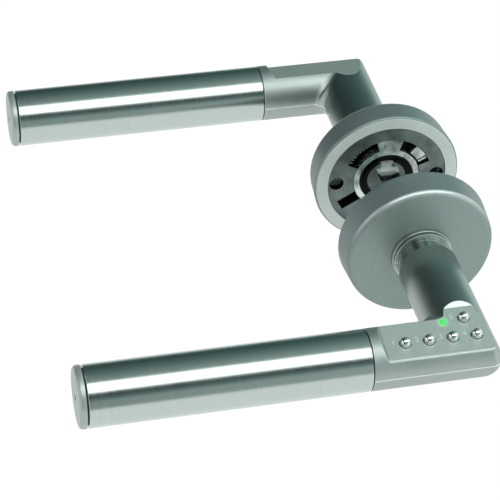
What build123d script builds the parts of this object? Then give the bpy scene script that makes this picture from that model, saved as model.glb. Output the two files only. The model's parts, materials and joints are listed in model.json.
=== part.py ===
from build123d import *
import os
from math import acos, cos, degrees, radians, sin, sqrt, tan

os.makedirs("parts", exist_ok=True)

# A pair of lever door handles on round roses, one of them with a keypad in its elbow. Millimetres.
# The spindle lies along Y, the levers point to -X and Z is up. The origin is on the spindle axis in the
# middle of the door. "Reach" is the distance from the middle of the door outwards. Each piece is drawn
# for the outside handle, at -Y, and the inside handle's pieces are its mirror images.

# Door and roses
door_gap = 33.0
rose_back_r = 27.4
rose_front_r = 26.4
rose_depth = 11.6
rose_front_edge = 2.0
rose_back_edge = 1.1
rose_wall = 2.8
rim_bore_r = 22.4
plate_recess = 0.5
plate_thickness = 2.6
plate_ledge = 1.9
fixing_pitch = 38.0
fixing_hole_r = 2.7
slot_mid_r = 15.2
slot_length = 9.6
slot_width = 4.3

# Neck bearing
journal_r = 9.2
hub_r = 7.2
bush_wall = 0.74
bush_flange_r = 10.9
bush_flange = 1.8
bush_edge = 0.4
neck_ring_r = 10.4
neck_ring_depth = 1.1
bare_journal = 5.9
sleeve_bore_r = 5.8
sleeve_grip = 9.9
hub_depth = 3.3

# Levers
neck_reach = 51.6
grip_r = 10.5
grip_wall = 1.2
tube_edge = 0.2
lever_length = 131.0
collar_x = 33.7
spigot_length = 8.0
elbow_bore_r = 7.6
corner_r = 3.2
crotch_r = 4.5
mitre_crown = 0.3
joint_groove = 0.3
seam_height = 0.35
seam_depth = 0.3
cap_length = 2.4
cap_edge = 1.4
cap_groove = 0.6
cap_spigot = 6.0
anchor_length = 7.0
cap_hole_r = 1.5
cap_screw_r = 1.0
cap_screw_depth = 3.2
cap_screw_head = 1.8
cap_screw_end = 2.0

# Screws of the elbows
pillar_r = 3.0
pillar_x = 28.0
pillar_reach = 17.7
pilot_r = 1.25
screw_head_r = 2.4
screw_head = 1.6
screw_cross = 3.0
screw_cross_width = 0.6
screw_cross_depth = 0.8
screw_sunk = 4.5
screw_top = 3.5
grub_r = 2.0
grub_length = 3.1
grub_bite = 0.8
grub_reach = 5.0
grub_hex_r = 1.1
grub_hex_depth = 1.7

# Flats on the elbows
keypad_tilt = 10.0
keypad_depth = 7.3
plain_tilt = 14.6
plain_depth = 7.9
flat_wall = 2.0
flat_end_x = 29.0
flat_end_slope = 1.5
flat_foot_r = 1.2
flat_edge = 0.85
flat_edge_r = 1.9
flat_edge_turn = 0.85
crescent_foot = 11.7
crescent_slope = 28.0

# Keypad
button_r = 1.9
button_rise = 1.85
button_lift = 0.6
button_gap = 0.18
button_flange_r = 2.6
button_flange = 0.6
button_travel = 0.5
button_hole_back = 0.5
button_row_x = -21.65
button_row_v = -0.9
button_pitch = 8.2
fifth_button = (0.54, 6.7)
lens_spot = (-6.92, 6.1)
lens_r = 1.05
board_depth = 5.2
board_thickness = 1.0
switch_width = 4.4
switch_height = 0.9
switch_nub_r = 1.1
switch_nub = 0.25
button_nub_r = 1.0
button_play = 0.05
board_side = 3.05
board_front = 5.4
board_back = 7.7
tongue_left = 5.0
tongue_right = 5.0
tongue_back = 3.3
post_r = 1.2
post_back = 5.1
post_front = 4.1

# Return mechanism in each rose, angles from +X towards +Z
follower_r = 12.4
follower_rim = 2.1
lug_start = 71.0
lug_end = 105.0
lug_root = 0.5
stop_face = 50.0
stop_span = 19.0
heel_start = 18.0
heel_end = 27.0
arm_rest = 0.5
window_start = 20.0
window_end = 153.0
window_r = 17.0
spring_r = 14.7
web_depth = 1.0
washer_depth = 1.2
circlip_depth = 0.6
circlip_rim = 1.2
circlip_bite = 0.3
mouth_start = 65.0
mouth_end = 115.0
stop_inset = 1.5
stop_nose_r = 1.4
seat_inset = 1.7
seat_outset = 1.2
spring_seat = 173.0
seat_width = 5.0
coil_r = 1.25
wire_r = 0.25
curls = 10
spring_play = 0.1
spring_lead = 1.3

# Spindle, clutch and battery
spindle_side = 8.0
spindle_edge = 0.4
spindle_outside = 21.5
spindle_inside = 33.0
spindle_room = 1.0
relief_r = 3.0
driver_depth = 5.0
tenon_r = 2.5
tenon_length = 2.0
clip_leaf = 0.6
clip_width = 4.5
clip_sunk = 1.5
clip_lift = 2.1
clip_top = 0.3
plunger_r = 1.5
plunger_key = 2.4
clutch_travel = 2.5
plunger_key_length = 4.0
plunger_rest = 0.5
solenoid_length = 12.0
solenoid_overlap = 3.1
solenoid_floor = 1.0
cell_r = 8.4
cell_play = 2.3
cell_nub_r = 2.8
cell_nub = 1.0
cell_gap = 0.01
contact_depth = 1.3

# Clearances
running_gap = 0.06
loose_gap = 0.3
end_float = 0.2

# Derived distances
face_w = door_gap / 2
front_w = face_w + rose_depth
inner_wall_w = front_w - rose_wall
plate_w = face_w + plate_recess
ledge_w = plate_w + plate_thickness
flange_w = front_w + bush_flange
ring_w = flange_w + end_float
neck_w = ring_w + neck_ring_depth + bare_journal
axis_w = front_w + neck_reach
hub_w = plate_w + loose_gap
shoulder_w = hub_w + hub_depth
bush_r = journal_r + running_gap + bush_wall
tube_bore_r = grip_r - grip_wall
tube_start = collar_x + joint_groove
tube_end = lever_length - cap_length - cap_groove
cap_face = lever_length - cap_length
anchor_end = cap_face - cap_spigot - end_float
anchor_start = anchor_end - anchor_length
spring_w = ledge_w + end_float + coil_r + wire_r
lug_w = spring_w + coil_r + wire_r
lug_r = window_r - loose_gap
washer_w = shoulder_w - web_depth - washer_depth
solenoid_w = neck_w - solenoid_overlap
driver_w = spindle_outside + driver_depth
plunger_w = driver_w + plunger_rest
button_spots = [(button_row_x + button_pitch * count, button_row_v) for count in range(4)] + [fifth_button]
post_spots = [
    (button_row_x + button_pitch / 2, button_row_v + post_back),
    (button_row_x + button_pitch * 1.5, button_row_v - post_front),
]
boss_spots = [(-pillar_x, -axis_w), (0.0, pillar_reach - axis_w)]
grub_w = neck_w + grub_reach
grub_floor = elbow_bore_r - grub_bite
clip_high = hub_r - spindle_side / 2 - clip_top
screw_seat = screw_sunk - grip_r
contact_end = collar_x + spigot_length + contact_depth
cell_length = (anchor_start - contact_end - cell_play) / 2


def across(reach: float) -> Plane:
    """Plane across the spindle at a reach on the outside, facing out, with X to the right and Z up."""
    return Plane(origin=(0, -reach, 0), x_dir=(1, 0, 0), z_dir=(0, -1, 0))


def along(distance: float) -> Plane:
    """Plane across the outside lever at a distance from the spindle, facing the lever's end."""
    return Plane(origin=(-distance, -axis_w, 0), x_dir=(0, -1, 0), z_dir=(-1, 0, 0))


def polar(radius: float, angle: float) -> tuple[float, float]:
    """Point at a radius and an angle in degrees."""
    return radius * cos(radians(angle)), radius * sin(radians(angle))


def sector(reach: float, inner_r: float, outer_r: float, start: float, end: float) -> Sketch:
    """Sector of a ring round the spindle, at a reach on the outside."""
    with BuildSketch(across(reach)) as piece:
        with BuildLine():
            CenterArc((0, 0), outer_r, start, end - start)
            CenterArc((0, 0), inner_r, start, end - start)
            Line(polar(inner_r, start), polar(outer_r, start))
            Line(polar(inner_r, end), polar(outer_r, end))
        make_face()
    return piece.sketch


def ring(reach: float, outer_r: float, inner_r: float) -> Sketch:
    """Ring round the spindle, at a reach on the outside."""
    with BuildSketch(across(reach)) as piece:
        Circle(outer_r)
        Circle(inner_r, mode=Mode.SUBTRACT)
    return piece.sketch


def bar(radius: float) -> Part:
    """Round bar along the lever, mitred at the elbow and on along the neck."""
    with BuildPart() as piece:
        with BuildLine():
            Polyline((-collar_x, -axis_w, 0), (0, -axis_w, 0), (0, -neck_w, 0))
        with BuildSketch(Plane(origin=(-collar_x, -axis_w, 0), z_dir=(1, 0, 0))):
            Circle(radius)
        sweep(transition=Transition.RIGHT)
    return piece.part


def rounded_bar(radius: float, outer_round: float, inner_round: float) -> Part:
    """The mitred bar with its outer and inner corners rounded."""
    plain = bar(radius)
    level = radius - mitre_crown
    with BuildPart() as core:
        add(plain)
        Box(4 * lever_length, 4 * lever_length, 2 * level, mode=Mode.INTERSECT)
        mitre = core.edges().filter_by(GeomType.ELLIPSE)
        fillet(mitre.filter_by(lambda edge: edge.center().X > 0), outer_round)
        mitre = core.edges().filter_by(GeomType.ELLIPSE)
        inner = mitre.filter_by(lambda edge: abs(edge.center().X + edge.center().Y + axis_w) < 0.1)
        fillet(inner.filter_by(lambda edge: edge.center().X < 0), inner_round)
    with BuildPart() as piece:
        add(plain)
        Box(4 * lever_length, 4 * lever_length, 2 * level, mode=Mode.SUBTRACT)
        add(core.part)
    return piece.part


def flat_plane(tilt: float, depth: float) -> Plane:
    """Plane of an elbow's flat: x along the lever to +X, y over the flat towards the door."""
    normal = Vector(0, -sin(radians(tilt)), cos(radians(tilt)))
    return Plane(origin=Vector(0, -axis_w, 0) + normal * depth, x_dir=(1, 0, 0), z_dir=normal)


def flat_cut(plane: Plane, depth: float) -> Part:
    """What the flat takes off the elbow: its front edge is rounded and its two ends slant."""
    high = 3 * grip_r
    side = Plane(origin=plane.origin, x_dir=plane.y_dir, z_dir=(1, 0, 0))
    front = Plane(origin=plane.origin, x_dir=(1, 0, 0), z_dir=-plane.y_dir)
    lean = flat_end_slope / (grip_r - keypad_depth)
    drop = flat_edge_turn * degrees(acos(depth / grip_r))
    round_start = flat_edge - sqrt(grip_r ** 2 - depth ** 2)
    round_end = round_start - flat_edge_r * sin(radians(drop))
    round_low = flat_edge_r * cos(radians(drop)) - flat_edge_r
    with BuildPart() as piece:
        with BuildSketch(side.offset(-2 * collar_x)):
            with BuildLine():
                RadiusArc((round_start, 0), (round_end, round_low), -flat_edge_r)
                Polyline(
                    (round_end, round_low),
                    (round_end - high, round_low - high * tan(radians(drop))),
                    (round_end - high, high),
                    (crescent_foot + high / tan(radians(crescent_slope)), high),
                    (crescent_foot, 0),
                    (round_start, 0),
                )
            make_face()
        extrude(amount=4 * collar_x)
        with BuildSketch(front):
            with BuildLine():
                Polyline(
                    (lean * high - flat_end_x, -high),
                    (high, -high),
                    (high, high),
                    (-lean * high - flat_end_x, high),
                    close=True,
                )
            make_face()
        extrude(amount=4 * lever_length, both=True, mode=Mode.INTERSECT)
        wall = piece.faces().sort_by(Axis.X)[0]
        foot = wall.edges().filter_by(lambda edge: plane.to_local_coords(edge.center()).Z < running_gap)
        fillet(foot, flat_foot_r)
    return piece.part


def elbow_shell(plane: Plane, depth: float) -> Part:
    """Hollow elbow with its spigot, its screw pillars and its flat, before it is split."""
    with BuildPart() as hollow:
        add(bar(elbow_bore_r))
        with BuildSketch(along(collar_x)):
            Circle(elbow_bore_r)
        extrude(amount=spigot_length)
        with BuildSketch(plane.offset(-flat_wall)):
            Rectangle(4 * lever_length, 4 * lever_length)
        extrude(amount=2 * grip_r, mode=Mode.SUBTRACT)
    with BuildPart() as pillars:
        for spot in boss_spots:
            with BuildSketch(Plane(origin=(spot[0], spot[1], -elbow_bore_r - 1))):
                Circle(pillar_r)
            extrude(amount=2 * elbow_bore_r + 2)
    with BuildPart() as piece:
        add(rounded_bar(grip_r, corner_r, crotch_r))
        with BuildSketch(along(collar_x)):
            Circle(tube_bore_r)
        extrude(amount=spigot_length)
        add(hollow.part, mode=Mode.SUBTRACT)
        add(pillars.part)
        add(flat_cut(plane, depth), mode=Mode.SUBTRACT)
    return piece.part


keypad_plane = flat_plane(keypad_tilt, keypad_depth)
plain_plane = flat_plane(plain_tilt, plain_depth)
keypad_shell = elbow_shell(keypad_plane, keypad_depth)
plain_shell = elbow_shell(plain_plane, plain_depth)

# Rose covers: a shallow cup with a light rim on the door side
with BuildPart() as outer_rose_cover:
    with BuildSketch(Plane(origin=(0, 0, 0), x_dir=(1, 0, 0), z_dir=(0, 0, -1))) as cover_profile:
        with BuildLine():
            Polyline(
                (rim_bore_r, face_w),
                (rose_back_r, face_w),
                (rose_front_r, front_w),
                (bush_r, front_w),
                (bush_r, inner_wall_w),
                (rim_bore_r - plate_ledge, inner_wall_w),
                (rim_bore_r - plate_ledge, ledge_w),
                (rim_bore_r, ledge_w),
                close=True,
            )
        make_face()
        fillet(cover_profile.vertices().sort_by_distance((rose_front_r, front_w))[0], rose_front_edge)
        fillet(cover_profile.vertices().sort_by_distance((rose_back_r, face_w))[0], rose_back_edge)
    revolve(axis=Axis.Y)
outer_rose_cover.part.label = "outer_rose_cover"
export_step(outer_rose_cover.part, "parts/outer_rose_cover.step")

with BuildPart() as inner_rose_cover:
    add(outer_rose_cover.part)
    mirror(about=Plane.XZ, mode=Mode.REPLACE)
inner_rose_cover.part.label = "inner_rose_cover"
export_step(inner_rose_cover.part, "parts/inner_rose_cover.step")

# Mounting plates: fixing holes, radial slots, the curved window and the spring's bent seat
with BuildPart() as outer_rose_plate:
    with BuildSketch(across(plate_w)):
        Circle(rim_bore_r - running_gap)
        Circle(follower_r + loose_gap, mode=Mode.SUBTRACT)
        with GridLocations(fixing_pitch, 0, 2, 1):
            Circle(fixing_hole_r, mode=Mode.SUBTRACT)
        with Locations(*[Location((*polar(slot_mid_r, angle), 0), (0, 0, angle)) for angle in (-150, -30)]):
            Rectangle(slot_length, slot_width, mode=Mode.SUBTRACT)
    extrude(amount=plate_thickness)
    opening = sector(plate_w, follower_r, window_r, window_start, window_end)
    extrude(opening, amount=plate_thickness, mode=Mode.SUBTRACT)
    seat_end = spring_seat + seat_width
    seat = sector(plate_w, spring_r - seat_inset, spring_r + seat_outset, spring_seat, seat_end)
    extrude(seat, amount=lug_w - plate_w)
outer_rose_plate.part.label = "outer_rose_plate"
export_step(outer_rose_plate.part, "parts/outer_rose_plate.step")

with BuildPart() as inner_rose_plate:
    add(outer_rose_plate.part)
    mirror(about=Plane.XZ, mode=Mode.REPLACE)
inner_rose_plate.part.label = "inner_rose_plate"
export_step(inner_rose_plate.part, "parts/inner_rose_plate.step")

# Bearing bushes: pressed into the covers, with a lip on the front
with BuildPart() as outer_bearing_bush:
    extrude(ring(inner_wall_w, bush_r, journal_r + running_gap), amount=rose_wall)
    extrude(ring(front_w, bush_flange_r, journal_r + running_gap), amount=bush_flange)
    rims = outer_bearing_bush.edges().filter_by(GeomType.CIRCLE).sort_by(Axis.Y)
    lip = rims[0:2].sort_by(SortBy.RADIUS)[-1]
    fillet(lip, bush_edge)
outer_bearing_bush.part.label = "outer_bearing_bush"
export_step(outer_bearing_bush.part, "parts/outer_bearing_bush.step")

with BuildPart() as inner_bearing_bush:
    add(outer_bearing_bush.part)
    mirror(about=Plane.XZ, mode=Mode.REPLACE)
inner_bearing_bush.part.label = "inner_bearing_bush"
export_step(inner_bearing_bush.part, "parts/inner_bearing_bush.step")

# Stop blocks: fixed to the cover's front wall and seen through the plate's window
with BuildPart() as outer_stop_block:
    block = sector(hub_w, spring_r - stop_inset, lug_r, stop_face - stop_span, stop_face)
    extrude(block, amount=inner_wall_w - hub_w)
    heel_w = hub_w + stop_nose_r
    heel = sector(heel_w, spring_r - stop_inset, lug_r, stop_face - heel_end, stop_face - heel_start)
    extrude(heel, amount=inner_wall_w - heel_w)
    nose_x, nose_z = polar(1, stop_face - (heel_start + heel_end) / 2)
    nose_dir = Vector(nose_x, 0, nose_z)
    nose_at = nose_dir * (spring_r - stop_inset) + Vector(0, -heel_w, 0)
    with BuildSketch(Plane(origin=nose_at, z_dir=nose_dir)):
        Circle(stop_nose_r)
    extrude(amount=lug_r - spring_r + stop_inset - end_float)
outer_stop_block.part.label = "outer_stop_block"
export_step(outer_stop_block.part, "parts/outer_stop_block.step")

with BuildPart() as inner_stop_block:
    add(outer_stop_block.part)
    mirror(about=Plane.XZ, mode=Mode.REPLACE)
inner_stop_block.part.label = "inner_stop_block"
export_step(inner_stop_block.part, "parts/inner_stop_block.step")


# Return springs: a coil bent round the spindle between the follower's lug and the plate's seat
def spring_point(angle: float, phase: float) -> Vector:
    """Point of the wire's centre line at an angle round the spindle and a phase round the coil."""
    outward = spring_r + coil_r * cos(radians(phase))
    across_x, across_z = polar(outward, angle)
    return Vector(across_x, -spring_w - coil_r * sin(radians(phase)), across_z)


def spring_heading(angle: float, phase: float, turn: float) -> Vector:
    """Direction of the wire, for a coil that advances by a turn in degrees for each curl."""
    step = 0.001
    ahead = spring_point(angle + turn * step / 360, phase + step)
    behind = spring_point(angle - turn * step / 360, phase - step)
    return (ahead - behind).normalized()


def biarc(start: Vector, start_dir: Vector, end: Vector, end_dir: Vector) -> tuple[Vector, Vector]:
    """Joint of two arcs that leave and arrive in the given directions, and their direction there."""
    span = end - start
    total = start_dir + end_dir
    spread = 2 * (1 - start_dir.dot(end_dir))
    lead = (sqrt(span.dot(total) ** 2 + spread * span.dot(span)) - span.dot(total)) / spread
    near = start + start_dir * lead
    far = end - end_dir * lead
    return (near + far) * 0.5, (far - near).normalized()


wire_d = 2 * wire_r
degree = radians(1) * spring_r
lug_side = lug_end + spring_play / degree
lead_in = spring_lead / degree
straight = wire_d / degree
coil_start = lug_side + straight + lead_in
coil_end = spring_seat - straight - lead_in
turn = (coil_end - coil_start) / curls
knots = []
for count in range(4 * curls + 1):
    place = coil_start + turn * count / 4
    knots.append((spring_point(place, 90 * count), spring_heading(place, 90 * count, turn)))
lug_end_at = lug_side + straight
lug_dir = Vector(-sin(radians(lug_end_at)), 0, cos(radians(lug_end_at)))
seat_end_at = spring_seat - straight
seat_dir = Vector(-sin(radians(seat_end_at)), 0, cos(radians(seat_end_at)))
knots.insert(0, (spring_point(lug_end_at, -90), lug_dir))
knots.append((spring_point(seat_end_at, 90), seat_dir))
wire_start = knots[0][0] - lug_dir * wire_d
wire_end = knots[-1][0] + seat_dir * wire_d

with BuildPart() as outer_return_spring:
    with BuildLine() as wire_line:
        Line(wire_start, knots[0][0])
        for (begin, begin_dir), (finish, finish_dir) in zip(knots, knots[1:]):
            joint, joint_dir = biarc(begin, begin_dir, finish, finish_dir)
            TangentArc(begin, joint, tangent=begin_dir)
            TangentArc(joint, finish, tangent=joint_dir)
        Line(knots[-1][0], wire_end)
    with BuildSketch(Plane(origin=wire_start, z_dir=lug_dir)):
        Circle(wire_r)
    sweep()
outer_return_spring.part.label = "outer_return_spring"
export_step(outer_return_spring.part, "parts/outer_return_spring.step")

samples = []
travelled = 0.0
for edge in wire_line.edges():
    for share in range(6):
        samples.append((travelled + edge.length * share / 6, edge.position_at(share / 6)))
    travelled += edge.length
far_pairs = []
for number, (first_at, first) in enumerate(samples):
    for second_at, second in samples[number + 1:]:
        if second_at - first_at > 4 * coil_r:
            far_pairs.append((second - first).length)
print("least gap of the spring to itself", round(min(far_pairs) - wire_d, 3))
radii = [edge.radius for edge in wire_line.edges().filter_by(GeomType.CIRCLE)]
print("tightest bend of the spring", round(min(radii), 3))

with BuildPart() as inner_return_spring:
    add(outer_return_spring.part)
    mirror(about=Plane.XZ, mode=Mode.REPLACE)
inner_return_spring.part.label = "inner_return_spring"
export_step(inner_return_spring.part, "parts/inner_return_spring.step")

# Followers: a ring pressed on the hub, with the lug that pushes the spring
with BuildPart() as outer_follower:
    extrude(ring(hub_w, follower_r, follower_r - follower_rim), amount=shoulder_w - web_depth - hub_w)
    extrude(ring(shoulder_w - web_depth, follower_r, hub_r), amount=web_depth)
    lug = sector(hub_w, follower_r - lug_root, lug_r, lug_start, lug_end)
    extrude(lug, amount=shoulder_w - hub_w)
    finger = sector(shoulder_w, follower_r, lug_r, lug_start, lug_end)
    extrude(finger, amount=lug_w - shoulder_w)
outer_follower.part.label = "outer_follower"
export_step(outer_follower.part, "parts/outer_follower.step")

with BuildPart() as inner_follower:
    add(outer_follower.part)
    mirror(about=Plane.XZ, mode=Mode.REPLACE)
inner_follower.part.label = "inner_follower"
export_step(inner_follower.part, "parts/inner_follower.step")

# Hub washers: black rings in the followers, held by circlips on the hubs
with BuildPart() as outer_hub_washer:
    extrude(ring(washer_w, follower_r - follower_rim - end_float, hub_r), amount=washer_depth)
outer_hub_washer.part.label = "outer_hub_washer"
export_step(outer_hub_washer.part, "parts/outer_hub_washer.step")

with BuildPart() as inner_hub_washer:
    add(outer_hub_washer.part)
    mirror(about=Plane.XZ, mode=Mode.REPLACE)
inner_hub_washer.part.label = "inner_hub_washer"
export_step(inner_hub_washer.part, "parts/inner_hub_washer.step")

with BuildPart() as outer_hub_circlip:
    extrude(ring(washer_w - circlip_depth, hub_r + circlip_rim, hub_r - circlip_bite), amount=circlip_depth)
    mouth = sector(washer_w - circlip_depth, hub_r / 2, hub_r + 2 * circlip_rim, mouth_start, mouth_end)
    extrude(mouth, amount=circlip_depth, mode=Mode.SUBTRACT)
outer_hub_circlip.part.label = "outer_hub_circlip"
export_step(outer_hub_circlip.part, "parts/outer_hub_circlip.step")

with BuildPart() as inner_hub_circlip:
    add(outer_hub_circlip.part)
    mirror(about=Plane.XZ, mode=Mode.REPLACE)
inner_hub_circlip.part.label = "inner_hub_circlip"
export_step(inner_hub_circlip.part, "parts/inner_hub_circlip.step")

# Stop rings: black collars on the journals, with an arm that rests on the stop block
with BuildPart() as outer_stop_ring:
    extrude(ring(shoulder_w, follower_r, journal_r), amount=inner_wall_w - loose_gap - shoulder_w)
    arm = sector(shoulder_w, follower_r - lug_root, lug_r, stop_face + arm_rest, lug_start)
    extrude(arm, amount=lug_w - shoulder_w)
outer_stop_ring.part.label = "outer_stop_ring"
export_step(outer_stop_ring.part, "parts/outer_stop_ring.step")

with BuildPart() as inner_stop_ring:
    add(outer_stop_ring.part)
    mirror(about=Plane.XZ, mode=Mode.REPLACE)
inner_stop_ring.part.label = "inner_stop_ring"
export_step(inner_stop_ring.part, "parts/inner_stop_ring.step")

# Neck rings: thin collars on the journals in front of the bushes
with BuildPart() as outer_neck_ring:
    extrude(ring(ring_w, neck_ring_r, journal_r), amount=neck_ring_depth)
outer_neck_ring.part.label = "outer_neck_ring"
export_step(outer_neck_ring.part, "parts/outer_neck_ring.step")

with BuildPart() as inner_neck_ring:
    add(outer_neck_ring.part)
    mirror(about=Plane.XZ, mode=Mode.REPLACE)
inner_neck_ring.part.label = "inner_neck_ring"
export_step(inner_neck_ring.part, "parts/inner_neck_ring.step")

# Neck sleeves: journal and hub of each lever, gripped in the elbow's neck
with BuildPart() as sleeve_body:
    with BuildSketch(across(hub_w)):
        Circle(hub_r)
    extrude(amount=shoulder_w - hub_w)
    with BuildSketch(across(shoulder_w)):
        Circle(journal_r)
    extrude(amount=neck_w - shoulder_w)
    with BuildSketch(across(neck_w)):
        Circle(elbow_bore_r)
    extrude(amount=sleeve_grip)
    groove = ring(washer_w - circlip_depth, hub_r + circlip_rim, hub_r - circlip_bite)
    extrude(groove, amount=circlip_depth, mode=Mode.SUBTRACT)
    with BuildSketch(Plane(origin=(0, -grub_w, -grub_floor), z_dir=(0, 0, -1))):
        Circle(grub_r)
    extrude(amount=grip_r, mode=Mode.SUBTRACT)

with BuildPart() as outer_neck_sleeve:
    add(sleeve_body.part)
    with BuildSketch(across(hub_w)):
        Circle(sleeve_bore_r)
    extrude(amount=neck_w + sleeve_grip - hub_w, mode=Mode.SUBTRACT)
outer_neck_sleeve.part.label = "outer_neck_sleeve"
export_step(outer_neck_sleeve.part, "parts/outer_neck_sleeve.step")

with BuildPart() as inner_neck_sleeve:
    add(sleeve_body.part)
    with BuildSketch(across(hub_w)):
        Rectangle(spindle_side, spindle_side)
    extrude(amount=spindle_inside + spindle_room - hub_w, mode=Mode.SUBTRACT)
    with BuildSketch(across(spindle_inside + spindle_room)):
        Circle(relief_r)
    extrude(amount=neck_w + sleeve_grip - spindle_inside - spindle_room, mode=Mode.SUBTRACT)
    with BuildSketch(across(hub_w)):
        with Locations((0, spindle_side / 2)):
            Rectangle(clip_width + 2 * running_gap, hub_r, align=(Align.CENTER, Align.MIN))
    extrude(amount=clip_sunk + running_gap, mode=Mode.SUBTRACT)
    mirror(about=Plane.XZ, mode=Mode.REPLACE)
inner_neck_sleeve.part.label = "inner_neck_sleeve"
export_step(inner_neck_sleeve.part, "parts/inner_neck_sleeve.step")

# Elbow castings: upper and lower halves that meet on the middle plane
with BuildPart() as outer_elbow_upper:
    add(keypad_shell)
    split(bisect_by=Plane.XY, keep=Keep.TOP)
    for spot in boss_spots:
        with BuildSketch(Plane(origin=(spot[0], spot[1], 0))):
            Circle(pilot_r)
        extrude(amount=screw_top, mode=Mode.SUBTRACT)
    with BuildSketch(keypad_plane.offset(-board_depth)):
        with Locations(*post_spots):
            Circle(post_r)
    extrude(amount=board_depth - flat_wall / 2)
    with BuildSketch(keypad_plane.offset(-board_depth)):
        with Locations(lens_spot):
            Circle(lens_r)
    extrude(amount=board_depth + grip_r, mode=Mode.SUBTRACT)
    with BuildSketch(keypad_plane.offset(-flat_wall - button_hole_back)):
        with Locations(*button_spots):
            Circle(button_r + button_gap)
    extrude(amount=flat_wall + grip_r, mode=Mode.SUBTRACT)
outer_elbow_upper.part.label = "outer_elbow_upper"
export_step(outer_elbow_upper.part, "parts/outer_elbow_upper.step")

with BuildPart() as inner_elbow_upper:
    add(plain_shell)
    split(bisect_by=Plane.XY, keep=Keep.TOP)
    for spot in boss_spots:
        with BuildSketch(Plane(origin=(spot[0], spot[1], 0))):
            Circle(pilot_r)
        extrude(amount=screw_top, mode=Mode.SUBTRACT)
    mirror(about=Plane.XZ, mode=Mode.REPLACE)
inner_elbow_upper.part.label = "inner_elbow_upper"
export_step(inner_elbow_upper.part, "parts/inner_elbow_upper.step")

with BuildPart() as seam_band:
    with Locations((2 * lever_length - collar_x, -axis_w, -seam_height / 2)):
        Box(4 * lever_length, 4 * lever_length, seam_height)
    add(rounded_bar(grip_r - seam_depth, corner_r - seam_depth, crotch_r + seam_depth), mode=Mode.SUBTRACT)

with BuildPart() as outer_elbow_lower:
    add(keypad_shell)
    split(bisect_by=Plane.XY, keep=Keep.BOTTOM)
    add(seam_band.part, mode=Mode.SUBTRACT)
    for spot in boss_spots:
        with BuildSketch(Plane(origin=(spot[0], spot[1], screw_seat))):
            Circle(pilot_r + running_gap)
        extrude(amount=2 * grip_r, mode=Mode.SUBTRACT)
        with BuildSketch(Plane(origin=(spot[0], spot[1], screw_seat), z_dir=(0, 0, -1))):
            Circle(screw_head_r + end_float)
        extrude(amount=grip_r, mode=Mode.SUBTRACT)
    with BuildSketch(Plane(origin=(0, -grub_w, -grub_floor), z_dir=(0, 0, -1))):
        Circle(grub_r)
    extrude(amount=grip_r, mode=Mode.SUBTRACT)
outer_elbow_lower.part.label = "outer_elbow_lower"
export_step(outer_elbow_lower.part, "parts/outer_elbow_lower.step")

with BuildPart() as inner_elbow_lower:
    add(outer_elbow_lower.part)
    mirror(about=Plane.XZ, mode=Mode.REPLACE)
inner_elbow_lower.part.label = "inner_elbow_lower"
export_step(inner_elbow_lower.part, "parts/inner_elbow_lower.step")

# Elbow screws: two from below in each elbow, with cross slots in their heads
with BuildPart() as outer_elbow_screws:
    for spot in boss_spots:
        with BuildSketch(Plane(origin=(spot[0], spot[1], screw_seat))):
            Circle(pilot_r)
        extrude(amount=screw_top - screw_seat)
        with BuildSketch(Plane(origin=(spot[0], spot[1], screw_seat), z_dir=(0, 0, -1))):
            Circle(screw_head_r)
        extrude(amount=screw_head)
        cross_w = screw_seat - screw_head + screw_cross_depth
        with BuildSketch(Plane(origin=(spot[0], spot[1], cross_w), z_dir=(0, 0, -1))):
            Rectangle(screw_cross, screw_cross_width)
            Rectangle(screw_cross_width, screw_cross)
        extrude(amount=screw_head, mode=Mode.SUBTRACT)
outer_elbow_screws.part.label = "outer_elbow_screws"
export_step(outer_elbow_screws.part, "parts/outer_elbow_screws.step")

with BuildPart() as inner_elbow_screws:
    add(outer_elbow_screws.part)
    mirror(about=Plane.XZ, mode=Mode.REPLACE)
inner_elbow_screws.part.label = "inner_elbow_screws"
export_step(inner_elbow_screws.part, "parts/inner_elbow_screws.step")

# Neck screws: a set screw from below that holds each sleeve
with BuildPart() as outer_neck_screw:
    with BuildSketch(Plane(origin=(0, -grub_w, -grub_floor), z_dir=(0, 0, -1))):
        Circle(grub_r)
    extrude(amount=grub_length)
    hex_w = -grub_floor - grub_length + grub_hex_depth
    with BuildSketch(Plane(origin=(0, -grub_w, hex_w), z_dir=(0, 0, -1))):
        RegularPolygon(grub_hex_r, 6)
    extrude(amount=grub_length, mode=Mode.SUBTRACT)
outer_neck_screw.part.label = "outer_neck_screw"
export_step(outer_neck_screw.part, "parts/outer_neck_screw.step")

with BuildPart() as inner_neck_screw:
    add(outer_neck_screw.part)
    mirror(about=Plane.XZ, mode=Mode.REPLACE)
inner_neck_screw.part.label = "inner_neck_screw"
export_step(inner_neck_screw.part, "parts/inner_neck_screw.step")

# Grip tubes
with BuildPart() as outer_grip_tube:
    with BuildSketch(along(tube_start)):
        Circle(grip_r)
        Circle(tube_bore_r, mode=Mode.SUBTRACT)
    extrude(amount=tube_end - tube_start)
    rims = outer_grip_tube.edges().filter_by(GeomType.CIRCLE).group_by(SortBy.RADIUS)[-1]
    chamfer(rims, tube_edge)
outer_grip_tube.part.label = "outer_grip_tube"
export_step(outer_grip_tube.part, "parts/outer_grip_tube.step")

with BuildPart() as inner_grip_tube:
    add(outer_grip_tube.part)
    mirror(about=Plane.XZ, mode=Mode.REPLACE)
inner_grip_tube.part.label = "inner_grip_tube"
export_step(inner_grip_tube.part, "parts/inner_grip_tube.step")

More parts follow.
